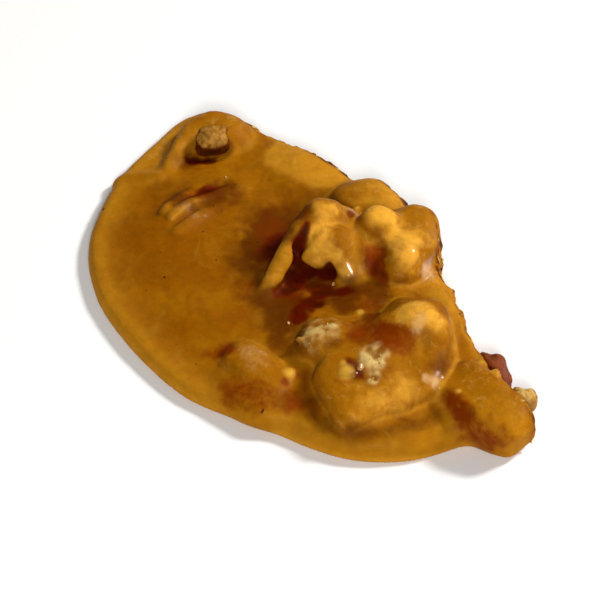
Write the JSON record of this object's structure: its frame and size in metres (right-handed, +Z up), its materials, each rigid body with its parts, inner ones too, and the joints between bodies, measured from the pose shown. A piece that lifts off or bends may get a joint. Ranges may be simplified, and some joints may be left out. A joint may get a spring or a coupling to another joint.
{
  "type": "pecan praline",
  "caption": "Broken half of a poured pecan praline: glossy caramel-brown candy with a rounded poured rim, coated pecan lumps on top and a rough broken side.",
  "frame": {"origin": "middle of the flat underside's bounding rectangle, on the table", "axes": "+X along the broken edge towards the pecan that sticks out, +Y out of the broken side, away from the poured rim, +Z up"},
  "size_m": [0.096, 0.0546, 0.0148],
  "materials": {
    "candy": "semi-gloss caramel-brown praline candy",
    "pecan_skin": "satin red-brown pecan skin",
    "pecan_flesh": "matte pale pecan flesh"
  },
  "bodies": {
    "root": {"candy": "candy", "pecan_left": "pecan_skin", "pecan_red": "pecan_skin", "pecan_pale": "pecan_flesh", "pecan_cut_left": "pecan_flesh", "pecan_cut_middle": "pecan_flesh", "pecan_cut_right": "pecan_flesh"}
  },
  "joints": []
}
